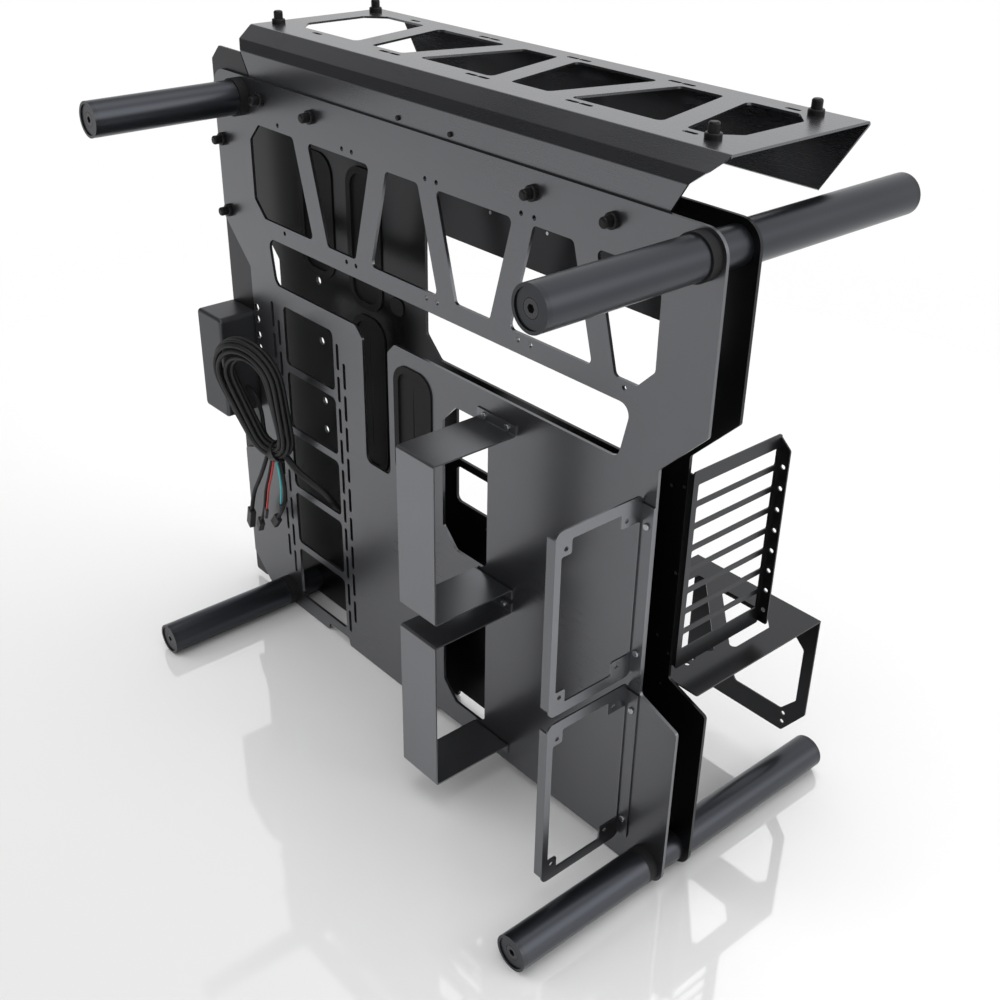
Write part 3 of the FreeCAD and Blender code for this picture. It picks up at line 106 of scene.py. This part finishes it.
# Make of a coat: noise per metre, tones of the colour, shares of slow and fine noise, and relief
COAT_GRAIN = 1500.0
SLOW_NOISE = 7.0
NOISE_MIDDLE = 0.5
SLOW_DETAIL, FINE_DETAIL = 3.0, 2.0
DARK_TONE, LIGHT_TONE = 0.88, 1.10
SLOW_SHARE, FINE_SHARE = 0.85, 0.15
RELIEF_DEPTH = 0.0004
ROUND_GRAIN = (1.0, 1.0, 1.0)
BRUSHED_GRAIN = (0.02, 1.0, 1.0)

# The sheets' coat
SHEET_METAL = 0.95
SHEET_RELIEF = 0.008
SHEET_PATCHY = 0.04

# White surroundings and the part of their light that falls on the case
WHITE = (1.0, 1.0, 1.0, 1.0)
SOFT_LIGHT = 0.75

# What the metal mirrors: a dim room in front, and soft boxes above and on the right.
# A spread gives the cosines where the change starts and where it is full.
ROOM_WAY = Vector((-0.35, -0.55, 0.76))
ROOM_SPREAD = (0.30, 0.75)
ROOM_DIM = 0.94
SOFT_BOXES = (
    (Vector((0.0, 0.0, 1.0)), (0.80, 0.98), 2.1),
    (Vector((0.84, 0.34, 0.42)), (0.86, 0.99), 1.9),
)

# Lamps with place, size and power
LAMPS = (
    ("overhead", (0.1, 0.1, 2.4), 1.8, 22.0),
    ("front_left", (-1.7, -1.7, 1.5), 1.6, 16.0),
    ("right_side", (2.2, 0.9, 1.4), 1.4, 12.0),
)
LAMP_AIM = Vector((0.0, 0.0, 0.3))

FLOOR_RADIUS = 2.4
FLOOR_SEGMENTS = 96
FLOOR_COLOUR = (0.93, 0.93, 0.93, 1.0)
FLOOR_ROUGH = 0.05
FLOOR_IOR = 3.0
FLOOR_FADE = (0.7, 1.7)

SENSOR_WIDTH = 36.0


class CaseFinish(bpy.types.PropertyGroup):
    """Colours and textures of the case's surfaces."""

    sheet_colour: FloatVectorProperty(
        name="Sheet colour", description="Powder coat of the plates", subtype="COLOR",
        size=3, default=(0.165, 0.168, 0.178))
    tube_colour: FloatVectorProperty(
        name="Tube colour", description="Anodised coat of the corner tubes", subtype="COLOR",
        size=3, default=(0.050, 0.053, 0.061))
    rubber_colour: FloatVectorProperty(
        name="Rubber colour", description="Collars and grommets", subtype="COLOR",
        size=3, default=(0.010, 0.010, 0.011))
    grain: FloatProperty(
        name="Coat grain", description="Noise scale of the powder coat per metre",
        default=COAT_GRAIN, min=10.0)


class CaseLeads(bpy.types.PropertyGroup):
    """Sizes of the cables."""

    lead: FloatProperty(
        name="Lead", description="Diameter of the jacketed cable", unit="LENGTH", default=0.0048)
    thick: FloatProperty(
        name="Thick lead", description="Diameter of the long cable", unit="LENGTH", default=0.0072)
    sound: FloatProperty(
        name="Sound lead", description="Diameter of the sound cable", unit="LENGTH",
        default=0.0036)
    wire: FloatProperty(
        name="Wire", description="Diameter of the thin wires", unit="LENGTH", default=0.0022)
    turns: IntProperty(name="Turns", description="Turns of cable in the hank", default=7, min=2)


class CaseStage(bpy.types.PropertyGroup):
    """Place and lens of the camera."""

    azimuth: FloatProperty(
        name="Azimuth", description="Turn of the camera round the case", subtype="ANGLE",
        default=math.radians(48.47))
    elevation: FloatProperty(
        name="Elevation", description="Height of the camera above the horizon", subtype="ANGLE",
        default=math.radians(29.655))
    roll: FloatProperty(
        name="Roll", description="Tilt of the camera about its view", subtype="ANGLE",
        default=math.radians(1.064))
    place: FloatVectorProperty(
        name="Place", description="Camera position", subtype="TRANSLATION", unit="LENGTH",
        size=3, default=(0.8603, -0.6976, 0.8636))
    lens: FloatProperty(name="Lens", description="Focal length in millimetres", default=46.89)


class Tap:
    """Shader value that takes part in Python expressions."""

    def __init__(self, paint, socket):
        self.paint = paint
        self.socket = socket

    def maths(self, operation, first, second):
        return self.paint.node("Math", {"operation": operation}, {0: first, 1: second})

    def __add__(self, other):
        return self.maths("ADD", self, other)

    def __radd__(self, other):
        return self.maths("ADD", other, self)

    def __sub__(self, other):
        return self.maths("SUBTRACT", self, other)

    def __rsub__(self, other):
        return self.maths("SUBTRACT", other, self)

    def __mul__(self, other):
        return self.maths("MULTIPLY", self, other)

    def __rmul__(self, other):
        return self.maths("MULTIPLY", other, self)


class Paint:
    """Node tree of one finish."""

    def __init__(self, tree):
        self.tree = tree

    def node(self, kind, settings=None, inputs=None, output=0):
        """Add a node, set its options, then its inputs, and return one output."""
        made = self.tree.nodes.new("ShaderNode" + kind)
        for key, value in (settings or {}).items():
            setattr(made, key, value)
        for key, value in (inputs or {}).items():
            self.feed(made.inputs[key], value)
        return Tap(self, made.outputs[output])

    def feed(self, socket, value):
        """Link a value to a socket or set it there."""
        if isinstance(value, Tap):
            self.tree.links.new(value.socket, socket)
        else:
            socket.default_value = value

    def blend(self, amount, first, second):
        """Mix two colours."""
        return self.node("Mix", {"data_type": "RGBA"}, {0: amount, 6: first, 7: second}, 2)

    def noise(self, scale, detail, stretch=ROUND_GRAIN):
        """Noise on the piece's own coordinates, drawn out where the stretch is small."""
        place = self.node("TexCoord", output="Object")
        drawn = self.node("Mapping", None, {"Vector": place, "Scale": stretch})
        return self.node("TexNoise", None, {"Vector": drawn, "Scale": scale, "Detail": detail})

    def bump(self, height, strength, distance):
        """Small relief."""
        return self.node("Bump", None,
                         {"Height": height, "Strength": strength, "Distance": distance})

    def ramp(self, value, spread):
        """0 below a spread of values and 1 above it, with a smooth change between."""
        return self.node("MapRange", {"interpolation_type": "SMOOTHSTEP"},
                         {"Value": value, "From Min": spread[0], "From Max": spread[1]})

    def lobe(self, way, spread):
        """1 in one direction of the surroundings, fading to 0 around it."""
        look = self.node("TexCoord", output="Generated")
        toward = self.node("VectorMath", {"operation": "DOT_PRODUCT"}, {0: look, 1: way}, "Value")
        return self.ramp(toward, spread)

    def white_where_seen(self, lit):
        """Strength that is 1 where the camera or a mirror looks, and lit elsewhere."""
        camera = self.node("LightPath", output="Is Camera Ray")
        glossy = self.node("LightPath", output="Is Glossy Ray")
        through = self.node("LightPath", output="Is Transmission Ray")
        seen = self.node("Math", {"operation": "ADD", "use_clamp": True},
                         {0: camera + glossy, 1: through})
        return seen * (1.0 - lit) + lit


def coat(name, colour, rough, metal=0.0, grain=COAT_GRAIN, relief=0.05, patchy=0.05,
         specular=0.5, brush=ROUND_GRAIN):
    """Painted or anodised surface with a fine grain and slow changes of gloss."""
    material = bpy.data.materials.new(name)
    material.use_nodes = True
    paint = Paint(material.node_tree)
    shader = material.node_tree.nodes["Principled BSDF"]
    slow = paint.noise(SLOW_NOISE, SLOW_DETAIL)
    fine = paint.noise(grain, FINE_DETAIL, brush)
    dark = (*[channel * DARK_TONE for channel in colour], 1.0)
    light = (*[channel * LIGHT_TONE for channel in colour], 1.0)
    tint = paint.blend(slow * SLOW_SHARE + fine * FINE_SHARE, dark, light)
    gloss = rough + (slow - NOISE_MIDDLE) * patchy * 2 + (fine - NOISE_MIDDLE) * patchy
    paint.feed(shader.inputs["Base Color"], tint)
    paint.feed(shader.inputs["Roughness"], gloss)
    paint.feed(shader.inputs["Normal"], paint.bump(fine, relief, RELIEF_DEPTH))
    shader.inputs["Metallic"].default_value = metal
    shader.inputs["Specular IOR Level"].default_value = specular
    return material


def dress(material, *names):
    """Give CAD nodes a finish."""
    for name in names:
        node = NODES[name]
        node.data.materials.clear()
        node.data.materials.append(material)


def starting(*heads):
    """Names of the CAD nodes that start with one of these words."""
    return [name for name in NODES if name.startswith(heads)]


class CASE_OT_sheets(bpy.types.Operator):
    """Coat the plates, the shelf, the side panel and the brackets"""

    bl_idname = "case.sheets"
    bl_label = "Coat the sheets"

    def execute(self, context):
        finish = context.scene.case_finish
        base = Vector(finish.sheet_colour)
        # Name, factor on the sheet colour, roughness and nodes. The factor paints light and shade
        # into copies of one coat: 0.2 on the back plate is painted shade, 1.3 on the straps is
        # painted light, and the side panel and rear sheets are darker at 0.3.
        sheets = (
            ("plate_coat", 0.93, 0.29, ["front_plate"]),
            # Painted shade: the back plate's coat is darkened to 0.2 where it lies in shadow behind
            # the front plate's windows.
            ("inner_painted_shade_coat", 0.2, 0.31, ["back_plate"]),
            ("shelf_coat", 0.95, 0.28, ["radiator_shelf"]),
            ("side_coat", 0.3, 0.36, ["side_panel"]),
            ("rear_coat", 0.3, 0.3, ["slot_grille", "card_shelf"]),
            ("frame_coat", 1.0, 0.3, starting("psu_frame")),
            # Painted light: the straps' coat is lightened to 1.3 where light falls on their fronts.
            ("strap_painted_light_coat", 1.3, 0.34, starting("psu_strap")),
        )
        for name, painted_light_factor, rough, nodes in sheets:
            sheet = coat(name, base * painted_light_factor, rough, SHEET_METAL, finish.grain,
                         SHEET_RELIEF, SHEET_PATCHY, brush=BRUSHED_GRAIN)
            dress(sheet, *nodes)
        return {"FINISHED"}


class CASE_OT_tubes(bpy.types.Operator):
    """Anodise the corner tubes, caps and spacers"""

    bl_idname = "case.tubes"
    bl_label = "Finish the tubes"

    def execute(self, context):
        colour = context.scene.case_finish.tube_colour
        tube = coat("tube_anodised", colour, 0.32, metal=0.9, grain=2600.0, relief=0.02)
        cap = coat("cap_turned", (0.045, 0.047, 0.052), 0.3,
                   metal=0.9, grain=2600.0, relief=0.02)
        dress(tube, *starting("front_tube", "back_tube", "corner_spacer"))
        dress(cap, *starting("front_cap", "back_cap"))
        return {"FINISHED"}


class CASE_OT_rubber(bpy.types.Operator):
    """Finish the collars and grommets"""

    bl_idname = "case.rubber"
    bl_label = "Finish the rubber"

    def execute(self, context):
        colour = context.scene.case_finish.rubber_colour
        rubber = coat("soft_rubber", colour, 0.62, grain=900.0, relief=0.08, specular=0.2)
        dress(rubber, "tube_collars", "front_grommet", *starting("back_grommet"))
        return {"FINISHED"}


class CASE_OT_fasteners(bpy.types.Operator):
    """Finish screws, rods, rivets, standoffs and thumbscrews"""

    bl_idname = "case.fasteners"
    bl_label = "Finish the fasteners"

    def execute(self, context):
        zinc = coat("zinc_plate", (0.42, 0.43, 0.45), 0.3,
                    metal=1.0, grain=3000.0, relief=0.02)
        knob = coat("black_oxide", (0.010, 0.010, 0.011), 0.4,
                    metal=0.3, grain=2500.0, specular=0.25)
        socket = coat("socket_steel", (0.06, 0.06, 0.065), 0.35,
                      metal=0.8, grain=2500.0, relief=0.03)
        dress(zinc, "psu_screws", "rear_screws", "box_screws", "board_standoffs")
        dress(knob, "plate_thumbscrews", "shelf_thumbscrews", "shelf_rivets")
        dress(socket, "tie_rods")
        return {"FINISHED"}


class CASE_OT_box(bpy.types.Operator):
    """Finish the control box, its buttons, ports and board"""

    bl_idname = "case.box"
    bl_label = "Finish the box"

    def execute(self, context):
        shell = coat("box_shell", (0.075, 0.077, 0.082), 0.42, metal=0.8, grain=1200.0)
        button = coat("button_cap", (0.012, 0.012, 0.013), 0.3, relief=0.02, specular=0.3)
        port = coat("port_body", (0.012, 0.012, 0.014), 0.4)
        board = coat("board_lacquer", (0.012, 0.07, 0.035), 0.3, grain=800.0)
        dress(shell, "io_box")
        dress(button, "power_button", "reset_button")
        dress(port, "port_block", "button_switches")
        dress(board, "io_board")
        return {"FINISHED"}


def cord_curve(name, points, diameter, material):
    """Smooth round cable along its route's control points."""
    curve = bpy.data.curves.new(name, "CURVE")
    curve.dimensions = "3D"
    curve.bevel_depth = diameter / 2
    curve.bevel_resolution = CORD_ROUNDNESS
    curve.resolution_u = CORD_STEPS
    curve.use_fill_caps = True
    spline = curve.splines.new("NURBS")
    spline.points.add(len(points) - 1)
    for slot, point in zip(spline.points, points):
        slot.co = (*point, 1.0)
    spline.order_u = CORD_ORDER
    spline.use_endpoint_u = True
    curve.materials.append(material)
    piece = bpy.data.objects.new(name, curve)
    bpy.context.scene.collection.objects.link(piece)
    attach(piece, CASE)
    return piece


def curve_length(piece):
    """Length of a cable's line."""
    bare = piece.data.copy()
    bare.bevel_depth = 0
    holder = bpy.data.objects.new("measure", bare)
    bpy.context.scene.collection.objects.link(holder)
    graph = bpy.context.evaluated_depsgraph_get()
    mesh = bpy.data.meshes.new_from_object(holder.evaluated_get(graph))
    spots = [vertex.co for vertex in mesh.vertices]
    total = sum((spots[edge.vertices[0]] - spots[edge.vertices[1]]).length for edge in mesh.edges)
    bpy.data.objects.remove(holder)
    return total


def drop_point(share):
    """Centre and outward direction of the hank at a share of its round, from the foot."""
    lean = math.asin((HANK_TOP_R - HANK_FOOT_R) / HANK_SPAN)
    run = HANK_SPAN * math.cos(lean)
    foot_arc = HANK_FOOT_R * (math.pi / 2 - lean)
    top_arc = HANK_TOP_R * (math.pi / 2 + lean)
    half = foot_arc + run + top_arc
    side = 1 if share <= 0.5 else -1
    along = min(share, 1 - share) * 2 * half
    if along < foot_arc:
        turn = along / HANK_FOOT_R - math.pi / 2
        way = Vector((math.cos(turn), math.sin(turn)))
        spot = Vector((0, -HANK_SPAN)) + way * HANK_FOOT_R
    elif along < foot_arc + run:
        way = Vector((math.cos(lean), -math.sin(lean)))
        spot = Vector((0, -HANK_SPAN)) + way * HANK_FOOT_R
        spot += Vector((math.sin(lean), math.cos(lean))) * (along - foot_arc)
    else:
        turn = (along - foot_arc - run) / HANK_TOP_R - lean
        way = Vector((math.cos(turn), math.sin(turn)))
        spot = way * HANK_TOP_R
    centre = HANK_CENTRE + HANK_ACROSS * spot.x * side + HANK_UP * spot.y
    outward = HANK_ACROSS * way.x * side + HANK_UP * way.y
    return centre, outward


def hank_turns(turns, lead):
    """Points of the turns: they lie tight at the tie and fan out at the top."""
    places = turns + FREE_PLACES
    tight = lead * PLACE_WIDTH / 2 / math.sin(math.pi / places)
    loose = HANK_R - lead / 2
    points = []
    for step in range(-STEPS_IN, turns * TURN_STEPS + 1 - STEPS_OUT):
        share = (step / TURN_STEPS) % 1.0
        centre, outward = drop_point(share)
        open_up = math.sin(math.pi * share) ** 2
        reach = tight + (loose - tight) * open_up
        angle = FIRST_PLACE - math.tau * step / (TURN_STEPS * places)
        aside = math.cos(angle)
        if aside < 0:
            aside *= 1 + INNER_FAN * open_up
        points.append(centre + (outward * aside + HANK_OUT * math.sin(angle)) * reach)
    return points


class CASE_OT_leads(bpy.types.Operator):
    """Lay the cables: the hank with its leads, and the thin wires"""

    bl_idname = "case.leads"
    bl_label = "Lay the cables"

    def execute(self, context):
        leads = context.scene.case_leads
        jacket = coat("cable_jacket", (0.012, 0.012, 0.013), 0.5, specular=0.35)
        red = coat("wire_red", (0.45, 0.03, 0.025), 0.45)
        teal = coat("wire_teal", (0.05, 0.38, 0.40), 0.45)
        route = BOX_LEAD + hank_turns(leads.turns, leads.lead) + HEADER_LEAD
        hank = cord_curve("main_lead", route, leads.lead, jacket)
        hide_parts("box_lead", "cable_hank", "header_lead")
        curve_length(hank)
        others = (
            ("long_run", LONG_LEAD, leads.thick, jacket, "long_lead", "long_plug", "cable"),
            ("sound_run", SOUND_LEAD, leads.sound, jacket, "sound_lead", "sound_plug", "cable"),
            ("data_run", DATA_LEAD, leads.lead, jacket, "data_lead", "data_plug", "cable"),
            ("switch_wire", SWITCH_LEAD, leads.wire, red, "switch_lead", "switch_plug", "wire_red"),
            ("lamp_wire", LAMP_LEAD, leads.wire, teal, "lamp_lead", "lamp_plug", "wire_teal"),
        )
        for name, points, diameter, material, node, plug, slot in others:
            piece = cord_curve(name, points, diameter, material)
            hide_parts(node)
            curve_length(piece)
        moulded = coat("plug_moulded", (0.02, 0.02, 0.022), 0.5, grain=1200.0)
        tie = coat("tie_nylon", (0.015, 0.015, 0.016), 0.4, grain=1200.0)
        dress(moulded, "header_plug", "long_plug", "sound_plug",
              "data_plug", "switch_plug", "lamp_plug")
        dress(tie, "hank_tie")
        return {"FINISHED"}


class CASE_OT_stage(bpy.types.Operator):
    """Set the floor, the light and the camera"""

    bl_idname = "case.stage"
    bl_label = "Set the stage"

    def execute(self, context):
        scene = context.scene
        scene.view_settings.view_transform = "Standard"
        self.world(scene)
        self.floor(scene)
        self.lamps(scene)
        self.camera(scene)
        return {"FINISHED"}

    def world(self, scene):
        """White surroundings with plain soft light, and what the metal mirrors in them."""
        world = bpy.data.worlds.new("studio")
        scene.world = world
        world.use_nodes = True
        paint = Paint(world.node_tree)
        back = world.node_tree.nodes["Background"]
        back.inputs["Color"].default_value = WHITE
        mirrored = paint.node("LightPath", output="Is Glossy Ray")
        dim = 1.0 - mirrored * paint.lobe(ROOM_WAY, ROOM_SPREAD) * ROOM_DIM
        boxes = sum(paint.lobe(way, spread) * power for way, spread, power in SOFT_BOXES)
        strength = paint.white_where_seen(SOFT_LIGHT) * dim + mirrored * boxes
        paint.feed(back.inputs["Strength"], strength)

    def floor(self, scene):
        """Pale floor that fades into the white behind it."""
        mesh = bpy.data.meshes.new("floor")
        shape = bmesh.new()
        bmesh.ops.create_circle(shape, cap_ends=True, radius=FLOOR_RADIUS, segments=FLOOR_SEGMENTS)
        shape.to_mesh(mesh)
        shape.free()
        floor = bpy.data.objects.new("floor", mesh)
        scene.collection.objects.link(floor)
        material = bpy.data.materials.new("pale_floor")
        material.use_nodes = True
        paint = Paint(material.node_tree)
        nodes = material.node_tree.nodes
        shader = nodes["Principled BSDF"]
        shader.inputs["Base Color"].default_value = FLOOR_COLOUR
        shader.inputs["Roughness"].default_value = FLOOR_ROUGH
        shader.inputs["IOR"].default_value = FLOOR_IOR
        place = paint.node("TexCoord", output="Object")
        distance = paint.node("VectorMath", {"operation": "LENGTH"}, {0: place}, "Value")
        fade = paint.ramp(distance, FLOOR_FADE)
        clear = paint.node("BsdfTransparent")
        body = Tap(paint, shader.outputs[0])
        mixed = paint.node("MixShader", None, {0: fade, 1: body, 2: clear})
        paint.feed(nodes["Material Output"].inputs["Surface"], mixed)
        mesh.materials.append(material)

    def lamps(self, scene):
        """Large soft boxes above and beside the case, which no mirror shows."""
        for name, place, size, power in LAMPS:
            lamp = bpy.data.lights.new(name, "AREA")
            lamp.shape = "SQUARE"
            lamp.size = size
            lamp.energy = power
            holder = bpy.data.objects.new(name, lamp)
            holder.location = place
            aim = LAMP_AIM - Vector(place)
            holder.rotation_euler = aim.to_track_quat("-Z", "Y").to_euler()
            holder.visible_glossy = False
            scene.collection.objects.link(holder)

    def camera(self, scene):
        """Camera at the photographed angle."""
        stage = scene.case_stage
        data = bpy.data.cameras.new("camera")
        data.lens = stage.lens
        data.sensor_width = SENSOR_WIDTH
        holder = bpy.data.objects.new("camera", data)
        turn = Matrix.Rotation(stage.azimuth, 3, "Z")
        tilt = Matrix.Rotation(math.pi / 2 - stage.elevation, 3, "X")
        roll = Matrix.Rotation(stage.roll, 3, "Z")
        holder.rotation_euler = (turn @ tilt @ roll).to_euler()
        holder.location = stage.place
        scene.collection.objects.link(holder)
        scene.camera = holder


OPERATORS = (
    CASE_OT_sheets,
    CASE_OT_tubes,
    CASE_OT_rubber,
    CASE_OT_fasteners,
    CASE_OT_box,
    CASE_OT_leads,
    CASE_OT_stage,
)


class CASE_PT_sidebar(bpy.types.Panel):
    """Buttons that dress the case"""

    bl_idname = "CASE_PT_sidebar"
    bl_label = "Open frame case"
    bl_space_type = "VIEW_3D"
    bl_region_type = "UI"
    bl_category = "Case"

    def draw(self, context):
        for operator in OPERATORS:
            self.layout.operator(operator.bl_idname)


GROUPS = {"case_finish": CaseFinish, "case_leads": CaseLeads, "case_stage": CaseStage}


def register():
    for group in GROUPS.values():
        bpy.utils.register_class(group)
    for name, group in GROUPS.items():
        setattr(bpy.types.Scene, name, PointerProperty(type=group))
    for operator in OPERATORS:
        bpy.utils.register_class(operator)
    bpy.utils.register_class(CASE_PT_sidebar)


def unregister():
    bpy.utils.unregister_class(CASE_PT_sidebar)
    for operator in reversed(OPERATORS):
        bpy.utils.unregister_class(operator)
    for name, group in GROUPS.items():
        delattr(bpy.types.Scene, name)
        bpy.utils.unregister_class(group)


def main():
    register()
    bpy.ops.case.sheets()
    bpy.ops.case.tubes()
    bpy.ops.case.rubber()
    bpy.ops.case.fasteners()
    bpy.ops.case.box()
    bpy.ops.case.leads()
    bpy.ops.case.stage()


if __name__ == "__main__":
    main()
